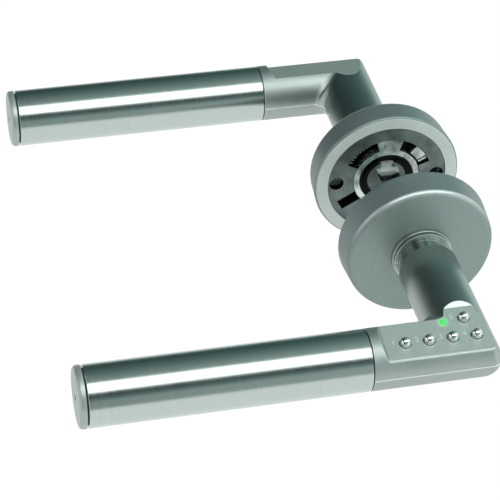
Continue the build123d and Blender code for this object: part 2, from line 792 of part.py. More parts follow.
# End caps: a rounded head on a spigot, with a small sunk screw
cap_seat = lever_length - cap_screw_depth
with BuildPart() as outer_end_cap:
    with BuildSketch(along(cap_face - cap_spigot)):
        Circle(tube_bore_r)
    extrude(amount=cap_spigot)
    with BuildSketch(along(cap_face)):
        Circle(grip_r)
    extrude(amount=cap_length)
    head_edges = outer_end_cap.edges().filter_by(GeomType.CIRCLE).sort_by(Axis.X)
    fillet(head_edges[0], cap_edge)
    with BuildSketch(along(cap_seat)):
        Circle(cap_hole_r)
    extrude(amount=cap_length, mode=Mode.SUBTRACT)
    with BuildSketch(along(cap_face - cap_spigot)):
        Circle(cap_screw_r)
    extrude(amount=cap_spigot + cap_length, mode=Mode.SUBTRACT)
outer_end_cap.part.label = "outer_end_cap"
export_step(outer_end_cap.part, "parts/outer_end_cap.step")

with BuildPart() as inner_end_cap:
    add(outer_end_cap.part)
    mirror(about=Plane.XZ, mode=Mode.REPLACE)
inner_end_cap.part.label = "inner_end_cap"
export_step(inner_end_cap.part, "parts/inner_end_cap.step")

with BuildPart() as outer_cap_screw:
    with BuildSketch(along(anchor_start + cap_screw_end)):
        Circle(cap_screw_r)
    extrude(amount=cap_seat - anchor_start - cap_screw_end)
    with BuildSketch(along(cap_seat)):
        Circle(cap_hole_r)
    extrude(amount=cap_screw_head)
    with BuildSketch(along(cap_seat + cap_screw_head / 3)):
        RegularPolygon(0.8 * cap_screw_r, 6)
    extrude(amount=cap_screw_head, mode=Mode.SUBTRACT)
outer_cap_screw.part.label = "outer_cap_screw"
export_step(outer_cap_screw.part, "parts/outer_cap_screw.step")

with BuildPart() as inner_cap_screw:
    add(outer_cap_screw.part)
    mirror(about=Plane.XZ, mode=Mode.REPLACE)
inner_cap_screw.part.label = "inner_cap_screw"
export_step(inner_cap_screw.part, "parts/inner_cap_screw.step")

# Cap anchors: plugs in the tubes that the cap screws pull on
with BuildPart() as outer_cap_anchor:
    with BuildSketch(along(anchor_start)):
        Circle(tube_bore_r)
        Circle(cap_screw_r, mode=Mode.SUBTRACT)
    extrude(amount=anchor_length)
outer_cap_anchor.part.label = "outer_cap_anchor"
export_step(outer_cap_anchor.part, "parts/outer_cap_anchor.step")

with BuildPart() as inner_cap_anchor:
    add(outer_cap_anchor.part)
    mirror(about=Plane.XZ, mode=Mode.REPLACE)
inner_cap_anchor.part.label = "inner_cap_anchor"
export_step(inner_cap_anchor.part, "parts/inner_cap_anchor.step")

# Buttons: a domed head, a stem through the flat, a flange under its wall and a nub for the switch
dome_r = (button_r ** 2 + button_rise ** 2) / (2 * button_rise)
button_top = button_lift + button_rise
flange_top = -flat_wall - button_play
flange_foot = flange_top - button_flange
nub_foot = switch_height + switch_nub + button_travel + button_play - board_depth
for number, spot in enumerate(button_spots, start=1):
    upright = Plane(origin=keypad_plane.from_local_coords((spot[0], spot[1], 0)), x_dir=(1, 0, 0),
                    z_dir=-keypad_plane.y_dir)
    with BuildPart() as button:
        with BuildSketch(upright):
            with BuildLine():
                RadiusArc((0, button_top), (button_r, button_lift), dome_r)
                Polyline(
                    (button_r, button_lift),
                    (button_r, flange_top),
                    (button_flange_r, flange_top),
                    (button_flange_r, flange_foot),
                    (button_nub_r, flange_foot),
                    (button_nub_r, nub_foot),
                    (0, nub_foot),
                    (0, button_top),
                )
            make_face()
        revolve(axis=Axis(upright.origin, keypad_plane.z_dir))
    button.part.label = f"button_{number}"
    export_step(button.part, f"parts/button_{number}.step")

# Status light, board and switches under the flat
with BuildPart() as status_lens:
    with BuildSketch(keypad_plane.offset(-board_depth)):
        with Locations(lens_spot):
            Circle(lens_r)
    extrude(amount=board_depth + button_play)
status_lens.part.label = "status_lens"
export_step(status_lens.part, "parts/status_lens.step")

board_left = button_row_x - board_side
board_right = button_row_x + 3 * button_pitch + board_side
tongue_top = fifth_button[1] + tongue_back
with BuildPart() as keypad_board:
    with BuildSketch(keypad_plane.offset(-board_depth)):
        with BuildLine():
            Polyline(
                (board_left, button_row_v - board_front),
                (board_right, button_row_v - board_front),
                (board_right, button_row_v + board_back),
                (fifth_button[0] + tongue_right, button_row_v + board_back),
                (fifth_button[0] + tongue_right, tongue_top),
                (fifth_button[0] - tongue_left, tongue_top),
                (fifth_button[0] - tongue_left, button_row_v + board_back),
                (board_left, button_row_v + board_back),
                close=True,
            )
        make_face()
    extrude(amount=-board_thickness)
keypad_board.part.label = "keypad_board"
export_step(keypad_board.part, "parts/keypad_board.step")

with BuildPart() as tact_switches:
    with BuildSketch(keypad_plane.offset(-board_depth)):
        with Locations(*button_spots):
            Rectangle(switch_width, switch_width)
    extrude(amount=switch_height)
    with BuildSketch(keypad_plane.offset(-board_depth + switch_height)):
        with Locations(*button_spots):
            Circle(switch_nub_r)
    extrude(amount=switch_nub)
tact_switches.part.label = "tact_switches"
export_step(tact_switches.part, "parts/tact_switches.step")

# Battery in the outside grip: a contact disc, two cells and their sleeve
with BuildPart() as battery_contact:
    with BuildSketch(along(collar_x + spigot_length)):
        Circle(tube_bore_r - end_float)
    extrude(amount=contact_depth)
battery_contact.part.label = "battery_contact"
export_step(battery_contact.part, "parts/battery_contact.step")

with BuildPart() as battery_sleeve:
    with BuildSketch(along(contact_end)):
        Circle(tube_bore_r - end_float / 2)
        Circle(cell_r + end_float / 2, mode=Mode.SUBTRACT)
    extrude(amount=anchor_start - contact_end)
battery_sleeve.part.label = "battery_sleeve"
export_step(battery_sleeve.part, "parts/battery_sleeve.step")

with BuildPart() as battery_cells:
    for count in range(2):
        with BuildSketch(along(contact_end + count * cell_length + cell_nub)):
            Circle(cell_r)
        extrude(amount=cell_length - cell_nub - cell_gap)
        with BuildSketch(along(contact_end + count * cell_length)):
            Circle(cell_nub_r)
        extrude(amount=cell_nub)
battery_cells.part.label = "battery_cells"
export_step(battery_cells.part, "parts/battery_cells.step")

# Spindle, its driver in the outside neck, and its clip on the inside hub
with BuildPart() as spindle:
    with BuildSketch(across(-spindle_inside)):
        Rectangle(spindle_side, spindle_side)
    extrude(amount=spindle_inside + spindle_outside)
    chamfer(spindle.edges().filter_by(Axis.Y), spindle_edge)
    with BuildSketch(across(spindle_outside)):
        Circle(tenon_r)
    extrude(amount=tenon_length)
spindle.part.label = "spindle"
export_step(spindle.part, "parts/spindle.step")

with BuildPart() as spindle_driver:
    with BuildSketch(across(spindle_outside)):
        Circle(sleeve_bore_r - running_gap)
    extrude(amount=driver_depth)
    with BuildSketch(across(spindle_outside)):
        Circle(tenon_r)
    extrude(amount=tenon_length, mode=Mode.SUBTRACT)
    with BuildSketch(across(driver_w - clutch_travel)):
        Rectangle(plunger_key + loose_gap, plunger_key + loose_gap)
    extrude(amount=clutch_travel, mode=Mode.SUBTRACT)
spindle_driver.part.label = "spindle_driver"
export_step(spindle_driver.part, "parts/spindle_driver.step")

clip_floor = spindle_side / 2
with BuildPart() as spindle_clip:
    with BuildSketch(Plane(origin=(-clip_width / 2, 0, 0), x_dir=(0, 1, 0), z_dir=(1, 0, 0))):
        with BuildLine():
            Polyline(
                (hub_w, clip_floor),
                (hub_w + clip_sunk, clip_floor),
                (hub_w + clip_sunk, clip_floor + clip_high),
                (hub_w, clip_floor + clip_high),
                (hub_w, clip_floor + clip_high - clip_leaf),
                (hub_w + clip_sunk - clip_leaf, clip_floor + clip_high - clip_leaf),
                (hub_w + clip_sunk - clip_leaf, clip_floor + clip_leaf),
                (hub_w, clip_floor + clip_leaf),
                close=True,
            )
        make_face()
    extrude(amount=clip_width)
    with BuildSketch(across(-hub_w)):
        with Locations((0, clip_floor)):
            Rectangle(spindle_side, clip_leaf, align=(Align.CENTER, Align.MIN))
    extrude(amount=clip_lift)
spindle_clip.part.label = "spindle_clip"
export_step(spindle_clip.part, "parts/spindle_clip.step")

# Clutch in the outside neck: the solenoid pushes a square-tipped plunger into the driver
with BuildPart() as clutch_solenoid:
    with BuildSketch(across(solenoid_w)):
        Circle(sleeve_bore_r)
    extrude(amount=solenoid_length)
    with BuildSketch(across(solenoid_w)):
        Circle(plunger_r + running_gap)
    extrude(amount=solenoid_length - solenoid_floor, mode=Mode.SUBTRACT)
clutch_solenoid.part.label = "clutch_solenoid"
export_step(clutch_solenoid.part, "parts/clutch_solenoid.step")

with BuildPart() as clutch_plunger:
    with BuildSketch(across(plunger_w)):
        Rectangle(plunger_key, plunger_key)
    extrude(amount=plunger_key_length)
    with BuildSketch(across(plunger_w + plunger_key_length)):
        Circle(plunger_r)
    extrude(amount=solenoid_w + solenoid_length - 1.5 * solenoid_floor - plunger_w - plunger_key_length)
clutch_plunger.part.label = "clutch_plunger"
export_step(clutch_plunger.part, "parts/clutch_plunger.step")
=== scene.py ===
"""Looks of a pair of lever door handles on round roses, one of them with a keypad in its elbow.

The handles' own solids keep their shapes and get their finishes here. A few thin pieces are modelled on
top: the status light, the keypad's numbers and the wound return springs. Lengths are metres.
"""

import json
import logging
import math
from dataclasses import dataclass, field, replace
from enum import Enum
from typing import Any, Callable

import bpy
from mathutils import Matrix, Vector

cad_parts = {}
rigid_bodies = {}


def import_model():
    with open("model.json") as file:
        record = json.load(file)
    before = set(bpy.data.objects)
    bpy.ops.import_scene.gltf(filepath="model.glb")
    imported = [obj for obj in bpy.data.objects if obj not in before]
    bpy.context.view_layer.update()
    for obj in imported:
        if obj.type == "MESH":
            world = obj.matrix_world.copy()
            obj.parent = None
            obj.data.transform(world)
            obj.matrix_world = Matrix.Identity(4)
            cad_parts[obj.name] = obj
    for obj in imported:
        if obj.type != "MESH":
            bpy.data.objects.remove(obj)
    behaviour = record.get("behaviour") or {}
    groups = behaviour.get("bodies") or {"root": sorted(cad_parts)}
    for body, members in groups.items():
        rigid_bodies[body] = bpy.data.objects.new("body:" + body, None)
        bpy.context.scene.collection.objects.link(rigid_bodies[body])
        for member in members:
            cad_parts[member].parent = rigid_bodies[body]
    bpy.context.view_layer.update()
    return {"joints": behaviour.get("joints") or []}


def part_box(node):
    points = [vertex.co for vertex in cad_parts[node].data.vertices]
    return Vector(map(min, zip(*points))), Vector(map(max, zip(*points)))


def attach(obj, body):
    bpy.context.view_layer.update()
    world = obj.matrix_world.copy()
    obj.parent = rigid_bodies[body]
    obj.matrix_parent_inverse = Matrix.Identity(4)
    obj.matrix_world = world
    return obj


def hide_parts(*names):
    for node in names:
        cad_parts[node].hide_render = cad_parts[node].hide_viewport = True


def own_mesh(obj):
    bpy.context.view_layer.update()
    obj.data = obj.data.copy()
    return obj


Tree = bpy.types.NodeTree
Node = bpy.types.Node
Socket = bpy.types.NodeSocket
Colour = tuple[float, float, float, float]

LOG = logging.getLogger("handles")
MM = 0.001
# Where most values of a noise texture lie, and of two such textures added together.
NOISE = (0.3, 0.7)
TWO_NOISES = (0.7, 1.3)
# Steps of detail in the noise of a fine grain, and in broader changes and lines.
GRAIN_STEPS = 2.0
BROAD_STEPS = 3.0
# A face with more of its normal along an axis than this faces along it, and with less lies beside it.
FACING = 0.9
BESIDE = 0.5
SMOOTH_ANGLE = math.radians(50)
BEVEL_SAMPLES = 12
# A quarter of a full turn, which lays a brushed metal's lights across its lines.
QUARTER_TURN = 0.25


class Side(Enum):
    """The two handles of the pair, by the first word of their nodes' names."""

    OUTSIDE = "outer"
    INSIDE = "inner"


class Axis(Enum):
    """Direction that a brushed surface's lines are spaced along."""

    X = 0
    Y = 1


def linear(colour: str, level: float = 1.0) -> Colour:
    """Turns an sRGB hex colour to linear light.

    Args:
        colour: Six hex digits after a hash sign.
        level: What the light is multiplied by.

    Returns:
        Red, green, blue and alpha, none over 1.
    """
    parts = [int(colour[place:place + 2], 16) / 255 for place in (1, 3, 5)]
    light = [part / 12.92 if part <= 0.04045 else ((part + 0.055) / 1.055) ** 2.4 for part in parts]
    red, green, blue = (min(1.0, part * level) for part in light)
    return red, green, blue, 1.0


def add_node(tree: Tree, kind: str, inputs: dict[Any, Any] | None = None, **settings: Any) -> Node:
    """Adds a node to a tree.

    Args:
        tree: Tree that takes the node.
        kind: Type of the node, without its ShaderNode prefix.
        inputs: A value, or another node's output to link, for each input by name or number.
        settings: The node's own attributes.

    Returns:
        The new node.
    """
    node = tree.nodes.new("ShaderNode" + kind)
    for name, value in settings.items():
        setattr(node, name, value)
    for key, value in (inputs or {}).items():
        if isinstance(value, Socket):
            tree.links.new(value, node.inputs[key])
        else:
            node.inputs[key].default_value = value
    return node


@dataclass(frozen=True)
class Finish:
    """A surface, by the name of its material, its colour and how it shines."""

    name: str
    colour: str
    roughness: float
    metallic: float = 0.0
    specular: float = 0.5

    def detail(self, tree: Tree, shader: Node) -> None:
        """Adds the nodes that a kind of surface needs. A kind of finish has its own."""

    def material(self) -> bpy.types.Material:
        """Gives the material, made when it is first asked for.

        Returns:
            The material with its nodes.
        """
        made = bpy.data.materials.get(self.name)
        if made is None:
            made = bpy.data.materials.new(self.name)
            made.use_nodes = True
            shader = made.node_tree.nodes["Principled BSDF"]
            shader.inputs["Base Color"].default_value = linear(self.colour)
            shader.inputs["Roughness"].default_value = self.roughness
            shader.inputs["Metallic"].default_value = self.metallic
            shader.inputs["Specular IOR Level"].default_value = self.specular
            self.detail(made.node_tree, shader)
        return made

    def dress(self, *names: str) -> None:
        """Puts the finish on CAD nodes.

        Args:
            names: The nodes' names.
        """
        for name in names:
            mesh = bpy.data.objects[name].data
            mesh.materials.clear()
            mesh.materials.append(self.material())
            LOG.info("%s has the finish %s", name, self.name)

    def dress_faces(self, name: str, chosen: Callable[[Vector, Vector], bool]) -> None:
        """Puts the finish on some faces of a CAD node that already has a finish.

        Args:
            name: The node's name.
            chosen: Says of a face's middle and normal whether it gets the finish.
        """
        mesh = bpy.data.objects[name].data
        mesh.materials.append(self.material())
        for face in mesh.polygons:
            if chosen(face.center, face.normal):
                face.material_index = len(mesh.materials) - 1
        LOG.info("%s has the finish %s on some faces", name, self.name)


@dataclass(frozen=True)
class Textured(Finish):
    """A surface whose gloss follows a pattern. The spread is how far its roughness goes to either side."""

    spread: float = 0.04

    def gloss(self, tree: Tree, pattern: Socket, ends: tuple[float, float] = NOISE) -> Socket:
        """Adds the roughness that follows a pattern.

        Args:
            tree: The material's tree.
            pattern: The pattern's value.
            ends: The values that get the least and the most roughness.

        Returns:
            The output that gives the roughness.
        """
        gloss = add_node(tree, "MapRange", {
            "Value": pattern, "From Min": ends[0], "From Max": ends[1],
            "To Min": self.roughness - self.spread, "To Max": self.roughness + self.spread})
        return gloss.outputs["Result"]


@dataclass(frozen=True)
class Metal(Textured):
    """A metal whose colour follows a pattern too. The shade is how much darker and lighter it gets."""

    metallic: float = 1.0
    shade: float = 0.05

    def tone(self, tree: Tree, pattern: Socket) -> Socket:
        """Adds the colour that follows a pattern.

        Args:
            tree: The material's tree.
            pattern: The pattern's value.

        Returns:
            The output that gives the colour.
        """
        ramp = add_node(tree, "ValToRGB", {"Fac": pattern})
        for point, place, change in zip(ramp.color_ramp.elements, NOISE, (-self.shade, self.shade)):
            point.position = place
            point.color = linear(self.colour, 1 + change)
        return ramp.outputs["Color"]


@dataclass(frozen=True)
class Blasted(Metal):
    """A cast or blasted metal with an even fine grain.

    The grain is its pits' width, the mottle the width of its slow changes and the edge the radius that its
    edges look rounded by, in millimetres. The edge's turn is how well the rounded normal agrees with the
    flat one where the rubbed edges start and where they are full; there they are glossier from wear and
    drawn lighter, a painted highlight. The stretch is how far brushing spreads the lights.
    """

    grain: float = 0.35
    grain_depth: float = 0.02
    mottle: float = 14.0
    edge: float = 0.0
    edge_colour: str = "#DDE5E2"
    edge_roughness: float = 0.14
    edge_turn: tuple[float, float] = (0.995, 0.95)
    face_colour: str = "#FFFFFF"
    face_roughness: float = 0.5
    face_shade: float = 0.3
    stretch: float = 0.0

    def lie(self, tree: Tree) -> Socket | None:
        """Adds the direction that the brushing follows. A kind of casting may have one.

        Args:
            tree: The material's tree.

        Returns:
            The output that gives it in the object's own axes, or nothing.
        """

    def face(self, tree: Tree) -> Socket | None:
        """Adds what is 1 on a face with a finish of its own. A kind of casting may have one.

        Args:
            tree: The material's tree.

        Returns:
            The output that says so, or nothing.
        """

    def worn(self, tree: Tree, soft: Socket) -> Socket:
        """Adds what is 1 on edges that hands have rubbed glossy and that are drawn lighter as a painted
        highlight.

        Args:
            tree: The material's tree.
            soft: The normal with its edges rounded.

        Returns:
            The output that says so.
        """
        hard = add_node(tree, "NewGeometry").outputs["Normal"]
        turned = add_node(tree, "VectorMath", {0: soft, 1: hard}, operation="DOT_PRODUCT").outputs["Value"]
        least, most = self.edge_turn
        worn = add_node(tree, "MapRange", {"Value": turned, "From Min": least, "From Max": most})
        return worn.outputs["Result"]

    @staticmethod
    def blend(tree: Tree, share: Socket, under: tuple[Socket, Socket],
              over: tuple[Socket | Colour, float]) -> tuple[Socket, Socket]:
        """Adds the change from one surface to another.

        Args:
            tree: The material's tree.
            share: What is 1 where the second surface shows.
            under: Colour and roughness of the first surface.
            over: Colour and roughness of the second surface.

        Returns:
            The outputs that give the colour and the roughness.
        """
        colour = add_node(tree, "MixRGB", {0: share, 1: under[0], 2: over[0]})
        rough = add_node(tree, "MapRange", {"Value": share, "To Min": under[1], "To Max": over[1]})
        return colour.outputs["Color"], rough.outputs["Result"]

    def detail(self, tree: Tree, shader: Node) -> None:
        """Adds the grain, slow changes of shade and gloss, the face, the softened edges and the brushing.

        Args:
            tree: The material's tree.
            shader: Its shader.
        """
        place = add_node(tree, "TexCoord").outputs["Object"]
        noises = (
            add_node(tree, "TexNoise", {"Vector": place, "Scale": 1 / (width * MM), "Detail": steps})
            for width, steps in ((self.grain, GRAIN_STEPS), (self.mottle, BROAD_STEPS)))
        grain, mottle = (noise.outputs["Fac"] for noise in noises)
        mixed = add_node(tree, "Math", {0: grain, 1: mottle}, operation="ADD").outputs[0]
        colour, rough = self.tone(tree, mottle), self.gloss(tree, mixed, TWO_NOISES)
        face = self.face(tree)
        if face:
            low = linear(self.face_colour, 1 - self.face_shade)
            high = linear(self.face_colour, 1 + self.face_shade)
            sandy = add_node(tree, "MixRGB", {0: grain, 1: low, 2: high}).outputs["Color"]
            colour, rough = self.blend(tree, face, (colour, rough), (sandy, self.face_roughness))
        bump = add_node(tree, "Bump", {"Height": grain, "Distance": self.grain_depth * MM, "Strength": 1.0})
        if self.edge:
            rounded = add_node(tree, "Bevel", {"Radius": self.edge * MM}, samples=BEVEL_SAMPLES)
            soft = rounded.outputs["Normal"]
            tree.links.new(soft, bump.inputs["Normal"])
            # Rubbed edges: a lower roughness from wear, and a lighter colour that is a painted highlight.
            rubbed_and_lit_edge = linear(self.edge_colour), self.edge_roughness
            colour, rough = self.blend(tree, self.worn(tree, soft), (colour, rough), rubbed_and_lit_edge)
        tree.links.new(colour, shader.inputs["Base Color"])
        tree.links.new(rough, shader.inputs["Roughness"])
        tree.links.new(bump.outputs["Normal"], shader.inputs["Normal"])
        if self.stretch:
            turned = add_node(tree, "VectorTransform", {0: self.lie(tree)}, vector_type="VECTOR",
                              convert_from="OBJECT", convert_to="WORLD")
            tree.links.new(turned.outputs[0], shader.inputs["Tangent"])
            shader.inputs["Anisotropic"].default_value = self.stretch
            shader.inputs["Anisotropic Rotation"].default_value = QUARTER_TURN


@dataclass(frozen=True)
class Elbow(Blasted):
    """An elbow's casting, brushed along the lever and along the neck, with a blasted flat.

    The tilts are the angles of the two elbows' flats, and sharp is the most that a normal on a flat differs
    from them, in degrees. In millimetres, the end is where a flat stops on the lever, the mitre the distance
    of the lever's axis from the middle of the door, the painted glow's radius the reach of a green glow
    painted on the casting round the lens, and the seam highlight the height of a lighter band, a painted
    highlight, along the lower casting's edge between the two castings.
    """

    tilts: tuple[float, float] = (-10.0, 14.6)
    end: float = -29.6
    sharp: float = 4.0
    mitre: float = 79.7
    stretch: float = 0.9
    # A green glow painted round the lens: the casting emits it, in place of the lens's light falling on the
    # flat.
    spill_at: tuple[float, float, float] | None = None
    spill_colour: str = "#3CE65A"
    spill_r: float = 3.2
    spill_fall: float = 2.0
    spill: float = 1.1
    # A lighter band along the seam: a painted highlight where the lower casting's edge would catch the
    # light.
    seam: float = -0.55
    seam_width: float = 0.5

    def detail(self, tree: Tree, shader: Node) -> None:
        """Adds a green glow painted round the lens, as the casting's own emission, to the casting's own
        looks.

        Args:
            tree: The material's tree.
            shader: Its shader.
        """
        super().detail(tree, shader)
        # Painted glow: the casting emits green light that fades away from the lens.
        if self.spill_at:
            place = add_node(tree, "TexCoord").outputs["Object"]
            away = add_node(tree, "VectorMath", {0: place, 1: self.spill_at}, operation="DISTANCE")
            near = add_node(tree, "MapRange", {
                "Value": away.outputs["Value"], "From Min": 0.0, "From Max": self.spill_r * MM,
                "To Min": 1.0, "To Max": 0.0}).outputs["Result"]
            level = add_node(tree, "Math", {0: near, 1: self.spill_fall}, operation="POWER").outputs[0]
            glow = add_node(tree, "Math", {0: level, 1: self.spill}, operation="MULTIPLY").outputs[0]
            shader.inputs["Emission Color"].default_value = linear(self.spill_colour)
            tree.links.new(glow, shader.inputs["Emission Strength"])

    def face(self, tree: Tree) -> Socket | None:
        """Adds what is 1 on the flat, by its normal and its place.

        Args:
            tree: The material's tree.

        Returns:
            The output that says so.
        """
        place = add_node(tree, "TexCoord").outputs
        along = add_node(tree, "SeparateXYZ", {0: place["Object"]}).outputs["X"]
        found = add_node(tree, "Math", {0: along, 1: self.end * MM}, operation="GREATER_THAN").outputs[0]
        flats: Socket | float = 0.0
        least = math.cos(math.radians(self.sharp))
        for tilt in self.tilts:
            turn = math.radians(tilt)
            upright = (0, math.sin(turn), math.cos(turn))
            facing = add_node(tree, "VectorMath", {0: place["Normal"], 1: upright}, operation="DOT_PRODUCT")
            flat = add_node(tree, "Math", {0: facing.outputs["Value"], 1: least}, operation="GREATER_THAN")
            flats = add_node(tree, "Math", {0: flat.outputs[0], 1: flats}, operation="MAXIMUM").outputs[0]
        return add_node(tree, "Math", {0: found, 1: flats}, operation="MULTIPLY").outputs[0]

    def worn(self, tree: Tree, soft: Socket) -> Socket:
        """Adds what is 1 on rubbed edges, drawn lighter as a painted highlight, and on a lighter band along
        the lower casting's edge at the seam, also a painted highlight.

        Args:
            tree: The material's tree.
            soft: The normal with its edges rounded.

        Returns:
            The output that says so.
        """
        place = add_node(tree, "TexCoord").outputs["Object"]
        height = add_node(tree, "SeparateXYZ", {0: place}).outputs["Z"]
        seam = add_node(tree, "Math", {0: height, 1: self.seam * MM, 2: self.seam_width / 2 * MM},
                        operation="COMPARE").outputs[0]
        edges = super().worn(tree, soft)
        return add_node(tree, "Math", {0: edges, 1: seam}, operation="MAXIMUM").outputs[0]

    def lie(self, tree: Tree) -> Socket | None:
        """Adds the direction of the brushing: along the lever and its flat, and along the neck.

        Args:
            tree: The material's tree.

        Returns:
            The output that gives it.
        """
        place = add_node(tree, "SeparateXYZ", {0: add_node(tree, "TexCoord").outputs["Object"]}).outputs
        away = add_node(tree, "Math", {0: place["Y"]}, operation="ABSOLUTE").outputs[0]
        beyond = add_node(tree, "Math", {0: away, 1: place["X"]}, operation="SUBTRACT").outputs[0]
        outer = add_node(tree, "Math", {0: beyond, 1: self.mitre * MM}, operation="GREATER_THAN").outputs[0]
        lever = add_node(tree, "Math", {0: outer, 1: self.face(tree)}, operation="MAXIMUM").outputs[0]
        neck = add_node(tree, "Math", {0: 1.0, 1: lever}, operation="SUBTRACT").outputs[0]
        return add_node(tree, "CombineXYZ", {"X": lever, "Y": neck}).outputs[0]


@dataclass(frozen=True)
class Turned(Blasted):
    """A metal with fine lines round the spindle, from a lathe or a polishing wheel."""

    stretch: float = 0.8

    def lie(self, tree: Tree) -> Socket | None:
        """Adds the direction of the lines, which run round the spindle.

        Args:
            tree: The material's tree.

        Returns:
            The output that gives it.
        """
        place = add_node(tree, "TexCoord").outputs["Object"]
        return add_node(tree, "VectorMath", {0: (0, 1, 0), 1: place}, operation="CROSS_PRODUCT").outputs[0]


@dataclass(frozen=True)
class Cover(Turned):
    """A rose's cover, turned, with its flat front drawn paler than its side as painted light and shade, and
    a rounded front edge rubbed glossy, with a painted highlight on top.

    The edge's reach is its least distance from the middle of the door, in millimetres. The ranges are of a
    normal's parts: up for the top, and along the spindle for the front and for the edge's two borders.
    """

    edge_reach: float = 22.0
    front_range: tuple[float, float] = (0.4, 0.95)
    top_range: tuple[float, float] = (0.2, 0.7)
    side_border: tuple[float, float] = (0.15, 0.4)
    front_border: tuple[float, float] = (0.99, 0.92)

    @staticmethod
    def front(tree: Tree, given: str) -> Socket:
        """Adds the size of a coordinate along the spindle.

        Args:
            tree: The material's tree.
            given: Normal, for how far a surface faces along it, or Object, for how far away it lies.

        Returns:
            The output that gives it.
        """
        parts = add_node(tree, "SeparateXYZ", {0: add_node(tree, "TexCoord").outputs[given]}).outputs
        return add_node(tree, "Math", {0: parts["Y"]}, operation="ABSOLUTE").outputs[0]

    def face(self, tree: Tree) -> Socket | None:
        """Adds what is 1 on the flat front, which is drawn paler than the side: painted light and shade.

        Args:
            tree: The material's tree.

        Returns:
            The output that says so.
        """
        low, high = self.front_range
        front = self.front(tree, "Normal")
        flat = add_node(tree, "MapRange", {"Value": front, "From Min": low, "From Max": high})
        return flat.outputs["Result"]

    def worn(self, tree: Tree, soft: Socket) -> Socket:
        """Adds what is 1 on the upper part of the rounded front edge, by where its normal points: glossier
        from rubbing, and drawn lighter there as a painted highlight.

        Args:
            tree: The material's tree.
            soft: The normal with its edges rounded.

        Returns:
            The output that says so.
        """
        # The top of the front edge gets a lower roughness and a lighter colour, a painted highlight.
        up = add_node(tree, "SeparateXYZ", {0: add_node(tree, "TexCoord").outputs["Normal"]}).outputs["Z"]
        front = self.front(tree, "Normal")
        away = self.front(tree, "Object")
        limits = (front, self.side_border), (front, self.front_border), (up, self.top_range)
        edge = add_node(tree, "Math", {0: away, 1: self.edge_reach * MM}, operation="GREATER_THAN")
        for value, (low, high) in limits:
            part = add_node(tree, "MapRange", {"Value": value, "From Min": low, "From Max": high})
            edge = add_node(tree, "Math", {0: edge.outputs[0], 1: part.outputs[0]}, operation="MULTIPLY")
        return edge.outputs[0]


@dataclass(frozen=True)
class Brushed(Metal):
    """A metal with fine lines across one direction, from a belt or a lathe.

    The line is the spacing of the lines and the reach their length, in millimetres.
    """

    across: Axis = Axis.X
    line: float = 0.45
    reach: float = 40.0
    line_depth: float = 0.004
    shade: float = 0.06

    def detail(self, tree: Tree, shader: Node) -> None:
        """Adds the lines to the shade, the gloss and the surface.

        Args:
            tree: The material's tree.
            shader: Its shader.
        """
        scale = [1 / (self.reach * MM)] * 3
        scale[self.across.value] = 1 / (self.line * MM)
        place = add_node(tree, "TexCoord").outputs["Object"]
        laid = add_node(tree, "Mapping", {"Vector": place, "Scale": scale}).outputs[0]
        noise = add_node(tree, "TexNoise", {"Vector": laid, "Scale": 1.0, "Detail": BROAD_STEPS})
        lines = noise.outputs["Fac"]
        tree.links.new(self.tone(tree, lines), shader.inputs["Base Color"])
        tree.links.new(self.gloss(tree, lines), shader.inputs["Roughness"])
        bump = add_node(tree, "Bump", {"Height": lines, "Distance": self.line_depth * MM, "Strength": 1.0})
        tree.links.new(bump.outputs["Normal"], shader.inputs["Normal"])


@dataclass(frozen=True)
class Moulded(Textured):
    """A moulded plastic with a faint spark-eroded texture, its grain in millimetres."""

    spread: float = 0.08
    grain: float = 0.4
    grain_depth: float = 0.02

    def detail(self, tree: Tree, shader: Node) -> None:
        """Adds the texture to the gloss and the surface.

        Args:
            tree: The material's tree.
            shader: Its shader.
        """
        place = add_node(tree, "TexCoord").outputs["Object"]
        grain = add_node(tree, "TexNoise", {
            "Vector": place, "Scale": 1 / (self.grain * MM), "Detail": GRAIN_STEPS}).outputs["Fac"]
        tree.links.new(self.gloss(tree, grain), shader.inputs["Roughness"])
        bump = add_node(tree, "Bump", {"Height": grain, "Distance": self.grain_depth * MM, "Strength": 1.0})
        tree.links.new(bump.outputs["Normal"], shader.inputs["Normal"])


@dataclass(frozen=True)
class Glowing(Finish):
    """A lit lens: a tinted clear plastic with its own light."""

    glow: str = "#46DC68"
    strength: float = 0.95

    def detail(self, tree: Tree, shader: Node) -> None:
        """Adds the light.

        Args:
            tree: The material's tree.
            shader: Its shader.
        """
        shader.inputs["Emission Color"].default_value = linear(self.glow)
        shader.inputs["Emission Strength"].default_value = self.strength


# Zinc castings, brushed and satin nickel plated: light that spreads softly round the bar, not along it.
# Their rounded edges are glossier from wear and drawn lighter, a painted highlight.
CASTING = Elbow("satin_nickel_casting", "#AAB5B2", 0.33, edge=0.35, grain_depth=0.001, edge_roughness=0.3,
                face_colour="#BAC6C2", face_roughness=0.4)
# Fine-turned nickel on the roses: darker than the castings, the side drawn darker than the paler front as
# painted shade, and the upper front edge glossier, with a painted highlight.
ROSE = Cover("satin_nickel_rose", "#829190", 0.46, metallic=0.5, grain_depth=0.006, stretch=0.25, edge=0.3,
             edge_colour="#CBD5D3", edge_roughness=0.34, face_colour="#96A6A3", face_roughness=0.46)
# The roses' rims, faced flat and left matt where they lie on the door.
RIM = Blasted("faced_nickel_rim", "#E2EBE7", 0.5, metallic=0.2, grain_depth=0.006)
# Belt-brushed stainless tube: sharp bands of light along the grip, broken by lines round it.
# Real lines are near 0.1 mm apart, and are drawn coarser so that they show.
GRIP = Brushed("brushed_stainless_tube", "#BDC8C4", 0.2, shade=0.03, spread=0.025, line_depth=0.001)
# Turned and brushed stainless end caps: the same steel, but much duller.
CAP = Brushed("turned_stainless_cap", "#BAC6C2", 0.4, metallic=0.5, line=0.5)
